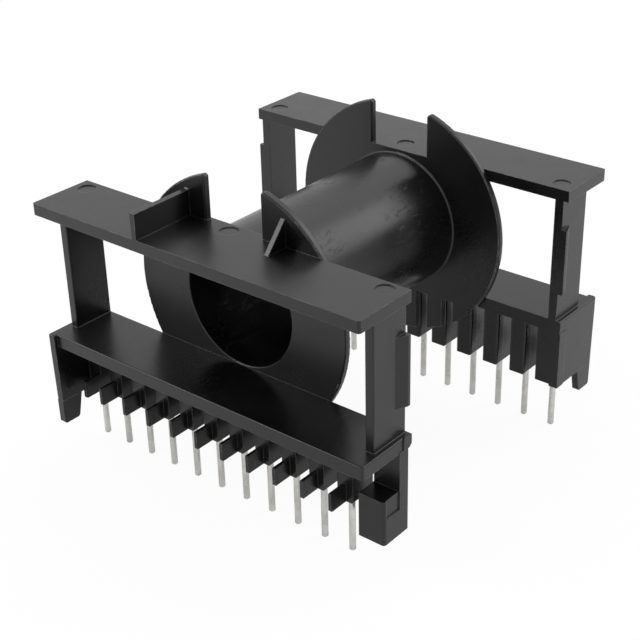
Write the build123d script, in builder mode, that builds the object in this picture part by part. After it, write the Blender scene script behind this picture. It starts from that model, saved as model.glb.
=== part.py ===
"""Coil former for an E core with a round centre leg, with two rows of solder pins.

X runs along the pin rows, Y along the tube and Z up. The origin is midway between
the two rows, on the plane of the pin tips. All sizes are in millimetres.
"""
import os

from build123d import *

os.makedirs("parts", exist_ok=True)

# Pins and their grid
pin_pitch = 5.08
pins_per_row = 11
row_setback = 3.26
pin_diameter = 1.0
pin_free_length = 9.3
pin_seat_diameter = 0.96
pin_seat_depth = 7.0
pin_shoulder_gap = 0.25
pin_tip_chamfer = 0.18
pin_hole_clearance = 0.02

# Tube
winding_width = 36.8
tube_bore = 19.7
tube_wall = 1.05
bore_lead_in = 0.12
tube_root_radius = 0.35

# Discs with their two ears
disc_diameter = 39.0
disc_thickness = 1.2
disc_rim_radius = 0.3
ear_gap = 10.5
ear_gap_shift = 0.25
ear_tip_radius = 0.5

# Bar and ledge, the two plates of an end frame
pin_to_end = 2.39
axis_to_bar = 9.9
bar_thickness = 1.8
bar_depth = 10.8
axis_to_ledge = 10.05
ledge_thickness = 2.08
ledge_depth = 10.4
plate_corner_radius = 0.4
ledge_rim_radius = 0.25
tab_depth = 1.7
tab_lead = 0.2
tab_lift = 0.2
tab_chamfer = 0.5
tab_step = 0.15

# Posts between bar and ledge, with a wedge on the outer side of each
post_inset = 0.83
post_thickness = 1.42
post_depth = 6.9
post_edge_radius = 0.2
post_foot_radius = 0.12
wedge_height = 10.8
wedge_drop = 0.1
wedge_ramp = 1.8
wedge_crest = 0.5

# Comb of pin blocks under the ledge
slot_width = 2.2
slot_step = 0.1
slot_step_depth = 1.8
slot_mouth_radius = 0.5
comb_thickness = 4.83
comb_height = 9.47
block_foot_radius = 0.4
block_edge_radius = 0.2
end_block_extra = 0.3

# Wire fins on the blocks
fin_thickness = 0.5
fin_reach = 3.34
fin_height = 2.95
fin_shift = 0.05
fin_corner_radius = 0.3

# End wall with its foot
end_wall_thickness = 1.4
end_wall_drop = 0.25
wall_lead_top = 0.65
wall_lead_bottom = 0.45
foot_lead = 0.4
foot_height = 4.2
foot_width = 2.7
foot_taper = 0.9
foot_corner_radius = 0.5
foot_step = 0.15

# Corner block with the pocket above it
corner_gap = 1.73
corner_inset = 0.48
corner_block_depth = 5.36
corner_block_height = 7.15
corner_block_drop = 3.8
corner_edge_radius = 0.5
corner_strip_depth = 1.87
corner_strip_lift = 0.12
corner_panel_height = 2.9
corner_panel_recess = 0.2

# Ribs on the bar, beside the ears
rib_thickness = 0.9
rib_offset = 9.0
rib_height = 3.95
gusset_thickness = 0.75
gusset_height = 4.15
gusset_run = 3.7

# Round ejector marks on the bars, where each ejector pin stood in the mould
mark_diameter = 2.9
mark_depth = 0.15
mark_places = [
    (-27.9, -21.8),
    (-0.5, -20.3),
    (27.5, -21.5),
    (-27.7, 22.1),
    (-0.5, 21.3),
    (27.8, 21.7),
]

# Heights worked out from the sizes above
comb_bottom = pin_free_length
ledge_bottom = comb_bottom + comb_height
ledge_top = ledge_bottom + ledge_thickness
axis_height = ledge_top + axis_to_ledge
bar_bottom = axis_height + axis_to_bar
bar_top = bar_bottom + bar_thickness
wall_bottom = comb_bottom - end_wall_drop
corner_bottom = comb_bottom - corner_block_drop
corner_top = corner_bottom + corner_block_height
tab_bottom = ledge_bottom + tab_step

# Places along X and Y, for the end frame on the -Y side
disc_inner_y = -winding_width / 2
frame_y = disc_inner_y - disc_thickness
comb_y = frame_y - comb_thickness
ledge_y = frame_y - ledge_depth
pin_row_y = frame_y - row_setback
row_shift = -pin_pitch / 2
pin_xs = [row_shift + (i - (pins_per_row - 1) / 2) * pin_pitch for i in range(pins_per_row)]
end_x = pin_to_end - pin_xs[0]
post_outer_x = end_x - post_inset
block_width = pin_pitch - slot_width
end_block_side = pin_xs[0] + block_width / 2 + end_block_extra
slot_sides = [(x + block_width / 2, x + pin_pitch - block_width / 2) for x in pin_xs[:-1]]
slot_sides[0] = (end_block_side, slot_sides[0][1])
corner_x = pin_xs[-1] + block_width / 2 + corner_gap
corner_outer_x = end_x + corner_strip_lift
corner_width = corner_outer_x - corner_x
comb_length = end_x + pin_xs[-1] + block_width / 2
corner_y = frame_y - corner_inset
tube_outer_radius = tube_bore / 2 + tube_wall
hole_radius = pin_seat_diameter / 2 + pin_hole_clearance

TOP_RIGHT = (Align.MAX, Align.MAX)
TOP_LEFT = (Align.MIN, Align.MAX)
TOP_CENTRE = (Align.CENTER, Align.MAX)

# Disc on the -Y side, with its two ears and the gap between them
with BuildPart() as disc:
    with BuildSketch(Plane.XZ.offset(-disc_inner_y)) as disc_outline:
        with Locations((0, axis_height)):
            Circle(disc_diameter / 2)
        with Locations((-ear_gap_shift, bar_top)):
            Rectangle(
                ear_gap, disc_diameter, align=(Align.CENTER, Align.MIN), mode=Mode.SUBTRACT
            )
        ear_tips = [v for v in disc_outline.vertices() if v.Y > bar_top + ear_tip_radius]
        fillet(ear_tips, ear_tip_radius)
    extrude(amount=disc_thickness)
    rims = [
        e
        for e in disc.edges().filter_by(Plane.XZ)
        if abs(e.center().Z - bar_top) > disc_rim_radius
    ]
    fillet(rims, disc_rim_radius)

    # The tube's bore goes through it, with a lead-in for the core
    with BuildSketch(Plane.XZ.offset(-disc_inner_y)):
        with Locations((0, axis_height)):
            Circle(tube_bore / 2)
    extrude(amount=disc_thickness, mode=Mode.SUBTRACT)
    bore_mouth = [
        e
        for e in disc.edges().filter_by(GeomType.CIRCLE).group_by(Axis.Y)[0]
        if abs(e.radius - tube_bore / 2) < tube_wall / 2
    ]
    chamfer(bore_mouth, bore_lead_in)

    # The comb's slots run on through the lower part of the disc
    with BuildSketch(Plane.XY.offset(comb_bottom)):
        for left, right in slot_sides:
            with Locations(((left + right) / 2, disc_inner_y)):
                Rectangle(right - left, 2 * disc_thickness)
    extrude(amount=comb_height, mode=Mode.SUBTRACT)

# Comb: plan with the stepped slots, then the rounded lower corners and inner edge
with BuildPart() as comb:
    with BuildSketch(Plane.XY.offset(comb_bottom)) as comb_plan:
        with Locations((-end_x, frame_y)):
            Rectangle(comb_length, comb_thickness, align=TOP_LEFT)
        for left, right in slot_sides:
            with Locations(((left + right) / 2, frame_y)):
                Rectangle(right - left, comb_thickness, align=TOP_CENTRE, mode=Mode.SUBTRACT)
            with Locations(((left + right) / 2, frame_y - slot_step_depth)):
                Rectangle(
                    right - left + 2 * slot_step,
                    comb_thickness - slot_step_depth,
                    align=TOP_CENTRE,
                    mode=Mode.SUBTRACT,
                )
        slot_mouths = [
            v
            for v in comb_plan.vertices()
            if abs(v.Y - frame_y) < slot_step and v.X > -end_x + slot_width
        ]
        fillet(slot_mouths, slot_mouth_radius)
    extrude(amount=comb_height)
    with BuildSketch(Plane.XZ.offset(-frame_y)) as comb_elevation:
        with Locations((-end_x, comb_bottom)):
            Rectangle(comb_length, comb_height, align=(Align.MIN, Align.MIN))
        for left, right in slot_sides:
            with Locations(((left + right) / 2, comb_bottom)):
                Rectangle(
                    right - left,
                    comb_height,
                    align=(Align.CENTER, Align.MIN),
                    mode=Mode.SUBTRACT,
                )
        block_feet = [
            v
            for v in comb_elevation.vertices()
            if v.Y < comb_bottom + block_foot_radius and v.X > -end_x + slot_width
        ]
        fillet(block_feet, block_foot_radius)
    extrude(amount=comb_thickness, mode=Mode.INTERSECT)
    with BuildSketch(Plane.YZ.offset(-end_x)) as comb_side:
        with Locations((frame_y, comb_bottom)):
            Rectangle(comb_thickness, comb_height, align=(Align.MAX, Align.MIN))
        fillet(comb_side.vertices().group_by(Axis.Y)[0].sort_by(Axis.X)[-1], block_edge_radius)
    extrude(amount=comb_length, mode=Mode.INTERSECT)

# End wall below the ledge, rounded on its outer front edge
with BuildPart() as end_wall:
    with BuildSketch(Plane.YZ.offset(-end_x)):
        with BuildLine():
            Polyline(
                (frame_y, ledge_bottom),
                (frame_y, wall_bottom),
                (ledge_y - wall_lead_bottom, wall_bottom),
                (ledge_y - wall_lead_top, ledge_bottom),
                close=True,
            )
        make_face()
    extrude(amount=end_wall_thickness)
    wall_front = end_wall.faces().sort_by(Axis.Y)[0]
    fillet(wall_front.edges().sort_by(Axis.X)[0], plate_corner_radius)

# One end frame, on the -Y side; the other is the same, turned half a turn about Z
with BuildPart() as end_frame:
    add(disc.part)
    add(comb.part)

    with BuildSketch(Plane.XY.offset(ledge_bottom)) as ledge_plan:
        with Locations((0, frame_y)):
            Rectangle(2 * end_x, ledge_depth, align=TOP_CENTRE)
        with Locations((-end_x, frame_y)):
            Rectangle(end_wall_thickness, ledge_depth + wall_lead_top, align=TOP_LEFT)
        ledge_corners = [
            v
            for v in ledge_plan.vertices()
            if abs(v.X) > end_x - plate_corner_radius and v.Y < frame_y - post_depth
        ]
        fillet(ledge_corners, plate_corner_radius)
    extrude(amount=ledge_thickness)
    ledge_rim = [
        e
        for e in end_frame.edges().filter_by_position(Axis.Z, ledge_top, ledge_top)
        if e.center().Y < frame_y - ledge_rim_radius
    ]
    fillet(ledge_rim, ledge_rim_radius)

    with BuildSketch(Plane.XY.offset(bar_bottom)) as bar_plan:
        with Locations((0, frame_y)):
            Rectangle(2 * end_x, bar_depth, align=TOP_CENTRE)
        fillet(bar_plan.vertices().group_by(Axis.Y)[0], plate_corner_radius)
    extrude(amount=bar_thickness)

    for side in (-1, 1):
        post_centre = side * (post_outer_x - post_thickness / 2)
        with BuildSketch(Plane.XY.offset(ledge_top)) as post_plan:
            with Locations((post_centre, frame_y)):
                Rectangle(post_thickness, post_depth, align=TOP_CENTRE)
            fillet(post_plan.vertices().group_by(Axis.Y)[0], post_edge_radius)
        extrude(amount=bar_bottom - ledge_top)
    post_feet = [
        e
        for e in end_frame.edges().filter_by_position(Axis.Z, ledge_top, ledge_top)
        if post_outer_x - post_thickness <= abs(e.center().X) <= post_outer_x
        and frame_y - post_depth <= e.center().Y < frame_y - post_edge_radius
    ]
    fillet(post_feet, post_foot_radius)

    # Wedge on each post's outer side, level with the tube
    for side in (-1, 1):
        with BuildSketch(Plane.XY.offset(axis_height - wedge_drop - wedge_height / 2)):
            with BuildLine():
                Polyline(
                    (side * post_outer_x, frame_y),
                    (side * end_x, frame_y),
                    (side * end_x, frame_y - wedge_crest),
                    (side * post_outer_x, frame_y - wedge_crest - wedge_ramp),
                    close=True,
                )
            make_face()
        extrude(amount=wedge_height)

    # Fins that guide each wire end to its pin, the first flush with the side of its slot
    first_fin_x = end_block_side - slot_step - fin_thickness / 2
    fin_xs = [first_fin_x] + [x - fin_shift for x in pin_xs[1:]]
    for fin_x in fin_xs:
        with BuildSketch(Plane.YZ.offset(fin_x - fin_thickness / 2)) as fin_side:
            with Locations((comb_y, comb_bottom)):
                Rectangle(fin_reach, fin_height, align=(Align.MAX, Align.MIN))
            fillet(fin_side.vertices().group_by(Axis.Y)[0].sort_by(Axis.X)[0], fin_corner_radius)
        extrude(amount=fin_thickness)

    # End wall, closing the comb at its full end; it leans out a little in front
    add(end_wall.part)

    # Foot of the end wall, a little thinner than the wall on both faces
    with BuildSketch(Plane.YZ.offset(-end_x + foot_step)) as foot_side:
        with BuildLine():
            Polyline(
                (ledge_y - wall_lead_bottom, wall_bottom),
                (ledge_y - foot_lead, wall_bottom - foot_height),
                (ledge_y + foot_width, wall_bottom - foot_height),
                (ledge_y + foot_width + foot_taper, wall_bottom),
                close=True,
            )
        make_face()
        fillet(foot_side.vertices().group_by(Axis.Y)[0], foot_corner_radius)
    extrude(amount=end_wall_thickness - 2 * foot_step)

    # Tab on the ledge's inner corner, at the end without a wall
    with BuildSketch(Plane.YZ.offset(end_x + tab_lift)):
        with BuildLine():
            Polyline(
                (frame_y + tab_lead, ledge_top),
                (frame_y + tab_lead, tab_bottom + tab_chamfer),
                (frame_y + tab_lead - tab_chamfer, tab_bottom),
                (frame_y + tab_lead - tab_depth, tab_bottom),
                (frame_y + tab_lead - tab_depth, ledge_top),
                close=True,
            )
        make_face()
    extrude(amount=-(tab_lift + end_wall_thickness))

    # Corner block at the end without a pin, below an open pocket
    with BuildSketch(Plane.XY.offset(corner_bottom)) as corner_plan:
        with Locations((corner_outer_x, corner_y)):
            Rectangle(corner_width, corner_block_depth, align=TOP_RIGHT)
        fillet(corner_plan.vertices().group_by(Axis.Y)[0].sort_by(Axis.X)[-1], corner_edge_radius)
    extrude(amount=corner_block_height)
    with BuildSketch(Plane.XY.offset(corner_bottom)):
        with Locations((corner_outer_x, corner_y)):
            Rectangle(corner_width, corner_strip_depth, align=TOP_RIGHT)
    extrude(amount=tab_bottom - corner_bottom)
    with BuildSketch(Plane.XY.offset(corner_top)):
        with Locations((corner_outer_x, corner_y - corner_strip_depth)):
            Rectangle(
                corner_panel_recess,
                corner_block_depth - corner_strip_depth - corner_edge_radius,
                align=TOP_RIGHT,
            )
    extrude(amount=-corner_panel_height, mode=Mode.SUBTRACT)

    # The same raised strip runs down the outside of the end wall
    with BuildSketch(Plane.XY.offset(wall_bottom)):
        with Locations((-end_x - corner_strip_lift, frame_y)):
            Rectangle(corner_strip_lift + end_wall_thickness, corner_strip_depth, align=TOP_LEFT)
    extrude(amount=ledge_bottom - wall_bottom)

    # Gussets that brace the ears on the bar
    for side in (-1, 1):
        with BuildSketch(Plane.YZ.offset(side * rib_offset - gusset_thickness / 2)):
            with BuildLine():
                Polyline(
                    (frame_y, bar_top),
                    (frame_y, bar_top + gusset_height),
                    (frame_y - gusset_run, bar_top),
                    close=True,
                )
            make_face()
        extrude(amount=gusset_thickness)

    # Blind holes that hold the pins
    with BuildSketch(Plane.XY.offset(comb_bottom)):
        with Locations([(x, pin_row_y) for x in pin_xs]):
            Circle(hole_radius)
    extrude(amount=pin_seat_depth, mode=Mode.SUBTRACT)

# The whole moulding: the tube with an end frame at each end
with BuildPart() as coil_former:
    with BuildSketch(Plane.XZ.offset(disc_inner_y)):
        with Locations((0, axis_height)):
            Circle(tube_outer_radius)
            Circle(tube_bore / 2, mode=Mode.SUBTRACT)
    extrude(amount=winding_width)
    add(end_frame.part)
    add(end_frame.part.rotate(Axis.Z, 180))
    tube_roots = [
        e
        for e in coil_former.edges().filter_by(GeomType.CIRCLE)
        if abs(e.radius - tube_outer_radius) < tube_wall / 2
    ]
    fillet(tube_roots, tube_root_radius)

    # The -Y bar has one full rib across it in place of a gusset
    with BuildSketch(Plane.YZ.offset(-rib_offset - rib_thickness / 2)):
        with Locations((frame_y, bar_top)):
            Rectangle(bar_depth, rib_height, align=(Align.MAX, Align.MIN))
    extrude(amount=rib_thickness)

    # Ejector marks on both bars
    with BuildSketch(Plane.XY.offset(bar_top)):
        with Locations(mark_places):
            Circle(mark_diameter / 2)
    extrude(amount=-mark_depth, mode=Mode.SUBTRACT)

coil_former.part.label = "coil_former"
export_step(coil_former.part, "parts/coil_former.step")

# Solder pins, each with a thinner end pressed into its block as far as the hole goes
row_places = [(x, pin_row_y) for x in pin_xs] + [(-x, -pin_row_y) for x in pin_xs]
for number, (pin_x, pin_y) in enumerate(row_places, start=1):
    with BuildPart() as pin:
        with BuildSketch():
            with Locations((pin_x, pin_y)):
                Circle(pin_diameter / 2)
        extrude(amount=pin_free_length - pin_shoulder_gap)
        chamfer(pin.edges().group_by(Axis.Z)[0], pin_tip_chamfer)
        with BuildSketch(Plane.XY.offset(pin_free_length - pin_shoulder_gap)):
            with Locations((pin_x, pin_y)):
                Circle(pin_seat_diameter / 2)
        extrude(amount=pin_shoulder_gap + pin_seat_depth)
    pin.part.label = f"pin_{number:02d}"
    export_step(pin.part, f"parts/pin_{number:02d}.step")
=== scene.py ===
import bpy
from mathutils import Matrix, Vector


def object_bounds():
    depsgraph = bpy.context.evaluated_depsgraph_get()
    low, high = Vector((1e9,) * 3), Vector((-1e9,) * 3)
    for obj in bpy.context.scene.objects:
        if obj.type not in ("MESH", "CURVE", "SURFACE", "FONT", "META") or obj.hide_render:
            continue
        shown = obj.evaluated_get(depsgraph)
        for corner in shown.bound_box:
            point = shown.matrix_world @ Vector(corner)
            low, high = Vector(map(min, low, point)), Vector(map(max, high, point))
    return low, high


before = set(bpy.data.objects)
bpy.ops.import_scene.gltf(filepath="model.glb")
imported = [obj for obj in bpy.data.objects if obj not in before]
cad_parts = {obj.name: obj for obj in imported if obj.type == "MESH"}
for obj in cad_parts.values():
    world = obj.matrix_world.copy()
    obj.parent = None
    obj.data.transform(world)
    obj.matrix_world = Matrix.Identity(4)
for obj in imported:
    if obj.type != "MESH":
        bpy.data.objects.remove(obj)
cad_low, cad_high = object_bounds()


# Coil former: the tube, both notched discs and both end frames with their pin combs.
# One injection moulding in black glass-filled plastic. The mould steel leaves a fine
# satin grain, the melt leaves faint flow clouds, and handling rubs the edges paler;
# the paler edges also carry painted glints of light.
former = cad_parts["coil_former"]

former_plastic = bpy.data.materials.new("former_plastic")
former_plastic.use_nodes = True


def place_node(material, kind, values=None, links=None):
    """Adds one shader node, sets its named inputs and links others to it."""
    tree = material.node_tree
    node = tree.nodes.new(kind)
    for name, value in (values or {}).items():
        node.inputs[name].default_value = value
    for name, socket in (links or {}).items():
        tree.links.new(socket, node.inputs[name])
    return node


def grain(material, size, detail=2.0, roughness=0.5, distortion=0.0, stretch=(1, 1, 1)):
    """A soft noise whose lumps are about size metres across, stretched by axis."""
    where = place_node(material, "ShaderNodeTexCoord")
    scaled = place_node(
        material,
        "ShaderNodeMapping",
        {"Scale": tuple(1.0 / (size * s) for s in stretch)},
        {"Vector": where.outputs["Object"]},
    )
    noise = place_node(
        material,
        "ShaderNodeTexNoise",
        {"Scale": 1.0, "Detail": detail, "Roughness": roughness, "Distortion": distortion},
        {"Vector": scaled.outputs["Vector"]},
    )
    return noise.outputs["Fac"]


def spread(material, source, low, high, to_low, to_high):
    """Maps a value from one range to another and keeps it within the second."""
    node = place_node(
        material,
        "ShaderNodeMapRange",
        {"From Min": low, "From Max": high, "To Min": to_low, "To Max": to_high},
        {"Value": source},
    )
    return node.outputs["Result"]


def combine(material, operation, first, second):
    """One step of arithmetic on two values. The second may be a plain number."""
    node = place_node(material, "ShaderNodeMath", links={0: first})
    node.operation = operation
    if isinstance(second, float):
        node.inputs[1].default_value = second
    else:
        material.node_tree.links.new(second, node.inputs[1])
    return node.outputs["Value"]


def blend_colours(material, amount, first, second):
    """Mixes the first colour, or an earlier mix, with the second by a value."""
    node = place_node(material, "ShaderNodeMix")
    node.data_type = "RGBA"
    material.node_tree.links.new(amount, node.inputs[0])
    if isinstance(first, tuple):
        node.inputs[6].default_value = first
    else:
        material.node_tree.links.new(first, node.inputs[6])
    node.inputs[7].default_value = second
    return node.outputs[2]


def relief(material, height, depth, normal=None):
    """A shallow relief that is depth metres high, laid over an earlier normal."""
    links = {"Height": height}
    if normal is not None:
        links["Normal"] = normal
    node = place_node(material, "ShaderNodeBump", {"Strength": 1.0, "Distance": depth}, links)
    return node.outputs["Normal"]


# Flow clouds make the black slightly uneven in colour and gloss.
deep_black = (0.0018, 0.0018, 0.0020, 1.0)
worn_black = (0.0044, 0.0044, 0.0047, 1.0)
cloud_size = 0.011
flow_clouds = grain(former_plastic, cloud_size, detail=4.0, distortion=0.6)
cloud_amount = spread(former_plastic, flow_clouds, 0.35, 0.65, 0.0, 1.0)
body_colour = blend_colours(former_plastic, cloud_amount, deep_black, worn_black)

# Scuffs come in patches. Most are on the tube, where the hand holds the former, and they
# fade away from its axis, between 11.2 and 11.9 mm.
scuffed_black = (0.0085, 0.0085, 0.009, 1.0)
scuff_size = 0.0011
scuff_patch_size = 0.012
tube_axis_height = 0.0309
scuff_fade_start = 0.0112
scuff_fade_end = 0.0119
plate_scuff_share = 0.25
scuff_marks = grain(former_plastic, scuff_size, 5.0, 0.72, distortion=1.2, stretch=(1, 2.5, 1))
scuff_areas = grain(former_plastic, scuff_patch_size)
scuff_specks = spread(former_plastic, scuff_marks, 0.55, 0.66, 0.0, 1.0)
scuff_share = spread(former_plastic, scuff_areas, 0.44, 0.58, 0.0, 1.0)
spot = place_node(former_plastic, "ShaderNodeTexCoord")
spot_off_axis = place_node(
    former_plastic,
    "ShaderNodeMapping",
    {"Location": (0.0, 0.0, -tube_axis_height), "Scale": (1.0, 0.0, 1.0)},
    {"Vector": spot.outputs["Object"]},
)
axis_distance = place_node(
    former_plastic, "ShaderNodeVectorMath", links={0: spot_off_axis.outputs["Vector"]}
)
axis_distance.operation = "LENGTH"
tube_share = spread(
    former_plastic,
    axis_distance.outputs["Value"],
    scuff_fade_start,
    scuff_fade_end,
    1.0,
    plate_scuff_share,
)
scuff_patches = combine(former_plastic, "MULTIPLY", scuff_specks, scuff_share)
scuff_amount = combine(former_plastic, "MULTIPLY", scuff_patches, tube_share)
scuffed_colour = blend_colours(former_plastic, scuff_amount, body_colour, scuffed_black)

# Handling rubs the outer edges paler, here and there, and leaves the inner corners dark.
# The paler edge colour is also a painted highlight: it stands for glints on the rounded edges.
worn_and_glinting_edge = (0.22, 0.22, 0.222, 1.0)
edge_radius = 0.00014
wear_and_glint_patch_size = 0.0012
corner_reach = 0.0008
rounded_edges = place_node(former_plastic, "ShaderNodeBevel", {"Radius": edge_radius})
rounded_edges.samples = 6
true_faces = place_node(former_plastic, "ShaderNodeNewGeometry")
flatness = place_node(
    former_plastic,
    "ShaderNodeVectorMath",
    links={0: rounded_edges.outputs["Normal"], 1: true_faces.outputs["True Normal"]},
)
flatness.operation = "DOT_PRODUCT"
edge_amount = spread(former_plastic, flatness.outputs["Value"], 0.97, 0.75, 0.0, 1.0)
wear_and_glint_breakup = grain(former_plastic, wear_and_glint_patch_size, detail=3.0)
wear_and_glint_patches = spread(former_plastic, wear_and_glint_breakup, 0.42, 0.62, 0.2, 1.0)
corner_light = place_node(
    former_plastic, "ShaderNodeAmbientOcclusion", {"Distance": corner_reach}
)
corner_light.samples = 6
open_share = spread(former_plastic, corner_light.outputs["AO"], 0.5, 0.85, 0.2, 1.0)
edge_wear_and_glint = combine(former_plastic, "MULTIPLY", edge_amount, wear_and_glint_patches)
wear_and_glint_amount = combine(former_plastic, "MULTIPLY", edge_wear_and_glint, open_share)
# This mix paints the paler edges: partly rubbed wear, partly painted glints of light.
former_colour = blend_colours(former_plastic, wear_and_glint_amount, scuffed_colour, worn_and_glinting_edge)

# The gloss follows the clouds and the mould's grain, and scuffs dull it.
glossy_patch = 0.26
dull_patch = 0.34
grain_swing = 0.02
scuff_dulling = 0.16
mould_grain_size = 0.00022
mould_grain = grain(former_plastic, mould_grain_size, detail=3.0, roughness=0.6)
gloss_patches = spread(former_plastic, flow_clouds, 0.3, 0.7, glossy_patch, dull_patch)
gloss_grain = spread(former_plastic, mould_grain, 0.3, 0.7, -grain_swing, grain_swing)
gloss_scuffs = combine(former_plastic, "MULTIPLY", scuff_amount, scuff_dulling)
grained_gloss = combine(former_plastic, "ADD", gloss_patches, gloss_grain)
former_gloss = combine(former_plastic, "ADD", grained_gloss, gloss_scuffs)

# The relief: faint sinks from cooling, then the scuffs, then the mould's grain.
sink_size = 0.006
sink_depth = 0.000045
scuff_depth = 0.000017
mould_grain_depth = 0.000004
sinks = grain(former_plastic, sink_size, detail=2.5, roughness=0.45)
sunk_normal = relief(former_plastic, sinks, sink_depth, rounded_edges.outputs["Normal"])
scuffed_normal = relief(former_plastic, scuff_amount, scuff_depth, sunk_normal)
former_normal = relief(former_plastic, mould_grain, mould_grain_depth, scuffed_normal)

plastic_ior = 1.46
former_surface = former_plastic.node_tree.nodes["Principled BSDF"]
former_surface.inputs["IOR"].default_value = plastic_ior
former_plastic.node_tree.links.new(former_colour, former_surface.inputs["Base Color"])
former_plastic.node_tree.links.new(former_gloss, former_surface.inputs["Roughness"])
former_plastic.node_tree.links.new(former_normal, former_surface.inputs["Normal"])
for material_slot in former.material_slots:
    material_slot.material = former_plastic


# Pins: twenty-two round pins of copper-clad steel wire, dipped in tin and pressed into
# the blocks of the comb. The wire is drawn, so fine lines run along it, and the tin has
# dull and bright patches.
pin_count = 22
pin_tin = bpy.data.materials.new("pin_tin")
pin_tin.use_nodes = True

bright_tin = (0.70, 0.69, 0.66, 1.0)
dull_tin = (0.60, 0.59, 0.565, 1.0)
bright_tin_gloss = 0.21
dull_tin_gloss = 0.29
tin_patch_size = 0.0016
drawn_line_width = 0.00009
drawn_line_stretch = 22
drawn_line_depth = 0.0000015

tin_patches = grain(pin_tin, tin_patch_size, detail=3.0)
patch_amount = spread(pin_tin, tin_patches, 0.38, 0.62, 0.0, 1.0)
tin_colour = blend_colours(pin_tin, patch_amount, dull_tin, bright_tin)
tin_gloss = spread(pin_tin, tin_patches, 0.3, 0.7, dull_tin_gloss, bright_tin_gloss)
drawn_lines = grain(pin_tin, drawn_line_width, stretch=(1, 1, drawn_line_stretch))
tin_normal = relief(pin_tin, drawn_lines, drawn_line_depth)

tin_surface = pin_tin.node_tree.nodes["Principled BSDF"]
tin_surface.inputs["Metallic"].default_value = 1.0
pin_tin.node_tree.links.new(tin_colour, tin_surface.inputs["Base Color"])
pin_tin.node_tree.links.new(tin_gloss, tin_surface.inputs["Roughness"])
pin_tin.node_tree.links.new(tin_normal, tin_surface.inputs["Normal"])

for number in range(1, pin_count + 1):
    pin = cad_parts[f"pin_{number:02d}"]
    for material_slot in pin.material_slots:
        material_slot.material = pin_tin


# Table: a plain sheet of white paper under the former, wide enough to fill the view.
# It stays white to the lens and keeps a soft shadow of the former.
table_half = 1.5
table_mesh = bpy.data.meshes.new("white_table")
table_mesh.from_pydata(
    [
        (-table_half, -table_half, 0.0),
        (table_half, -table_half, 0.0),
        (table_half, table_half, 0.0),
        (-table_half, table_half, 0.0),
    ],
    [],
    [(0, 1, 2, 3)],
)
white_table = bpy.data.objects.new("white_table", table_mesh)
bpy.context.scene.collection.objects.link(white_table)

paper_white = (0.80, 0.80, 0.80, 1.0)
paper_roughness = 0.9
glow_to_lens = 0.93
glow_in_gloss = 0.1
table_white = bpy.data.materials.new("table_white")
table_white.use_nodes = True
table_nodes = table_white.node_tree.nodes
table_paper = table_nodes["Principled BSDF"]
table_paper.inputs["Base Color"].default_value = paper_white
table_paper.inputs["Roughness"].default_value = paper_roughness
table_paper.inputs["Specular IOR Level"].default_value = 0.0
table_glow = place_node(table_white, "ShaderNodeEmission", {"Strength": 1.0})
table_ray = place_node(table_white, "ShaderNodeLightPath")
lens_share = combine(table_white, "MULTIPLY", table_ray.outputs["Is Camera Ray"], glow_to_lens)
gloss_share = combine(table_white, "MULTIPLY", table_ray.outputs["Is Glossy Ray"], glow_in_gloss)
glow_share = combine(table_white, "ADD", lens_share, gloss_share)
table_mix = place_node(
    table_white,
    "ShaderNodeMixShader",
    links={0: glow_share, 1: table_paper.outputs["BSDF"], 2: table_glow.outputs["Emission"]},
)
table_surface = table_nodes["Material Output"].inputs["Surface"]
table_white.node_tree.links.new(table_mix.outputs["Shader"], table_surface)
table_mesh.materials.append(table_white)


# Room: the plain white surround of a catalogue picture, the same on every side, like a
# tent of white cloth that is lit from outside.
room = bpy.data.worlds.new("white_room")
bpy.context.scene.world = room
room.use_nodes = True
room_light = room.node_tree.nodes["Background"]
room_light.inputs["Color"].default_value = (1.0, 1.0, 1.0, 1.0)
room_light.inputs["Strength"].default_value = 1.0


# Lamps: a wide softbox overhead, one at each side and a small one in front, each a square
# white sheet with a lamp behind it, hung round the table as for a catalogue picture.
former_middle = (cad_low + cad_high) / 2


def hang_softbox(name, place, side, power):
    """Adds a square lamp at place that faces the former's middle."""
    lamp_data = bpy.data.lights.new(name, "AREA")
    lamp_data.shape = "SQUARE"
    lamp_data.size = side
    lamp_data.energy = power
    lamp = bpy.data.objects.new(name, lamp_data)
    lamp.location = place
    back = (lamp.location - former_middle).normalized()
    lamp.rotation_mode = "QUATERNION"
    lamp.rotation_quaternion = back.to_track_quat("Z", "Y")
    bpy.context.scene.collection.objects.link(lamp)


hang_softbox("top_softbox", (-0.08, 0.20, 0.42), side=0.34, power=0.26)
hang_softbox("left_softbox", (-0.34, -0.10, 0.24), side=0.24, power=0.20)
hang_softbox("right_softbox", (0.195, 0.30, 0.29), side=0.25, power=0.50)
hang_softbox("front_softbox", (-0.25, -0.25, 0.29), side=0.15, power=0.40)


# Camera: a long lens in front and to the right of the former, looking down on it. Its
# place, turn and focal length were worked out from the photograph's own lines.
view_right = (0.77367872, 0.63320434, -0.02176007)
view_up = (-0.28585645, 0.37951123, 0.87991893)
view_back = (0.56542668, -0.67455429, 0.47462531)
view_place = (0.12196, -0.14712, 0.12298)
lens_data = bpy.data.cameras.new("catalogue_lens")
lens_data.sensor_width = 36.0
lens_data.lens = 78.003
lens_data.clip_start = 0.01
lens_data.clip_end = 10.0
catalogue_camera = bpy.data.objects.new("catalogue_camera", lens_data)
turn = Matrix((view_right, view_up, view_back)).transposed().to_4x4()
catalogue_camera.matrix_world = Matrix.Translation(view_place) @ turn
bpy.context.scene.collection.objects.link(catalogue_camera)
bpy.context.scene.camera = catalogue_camera

bpy.context.scene.view_settings.view_transform = "Standard"
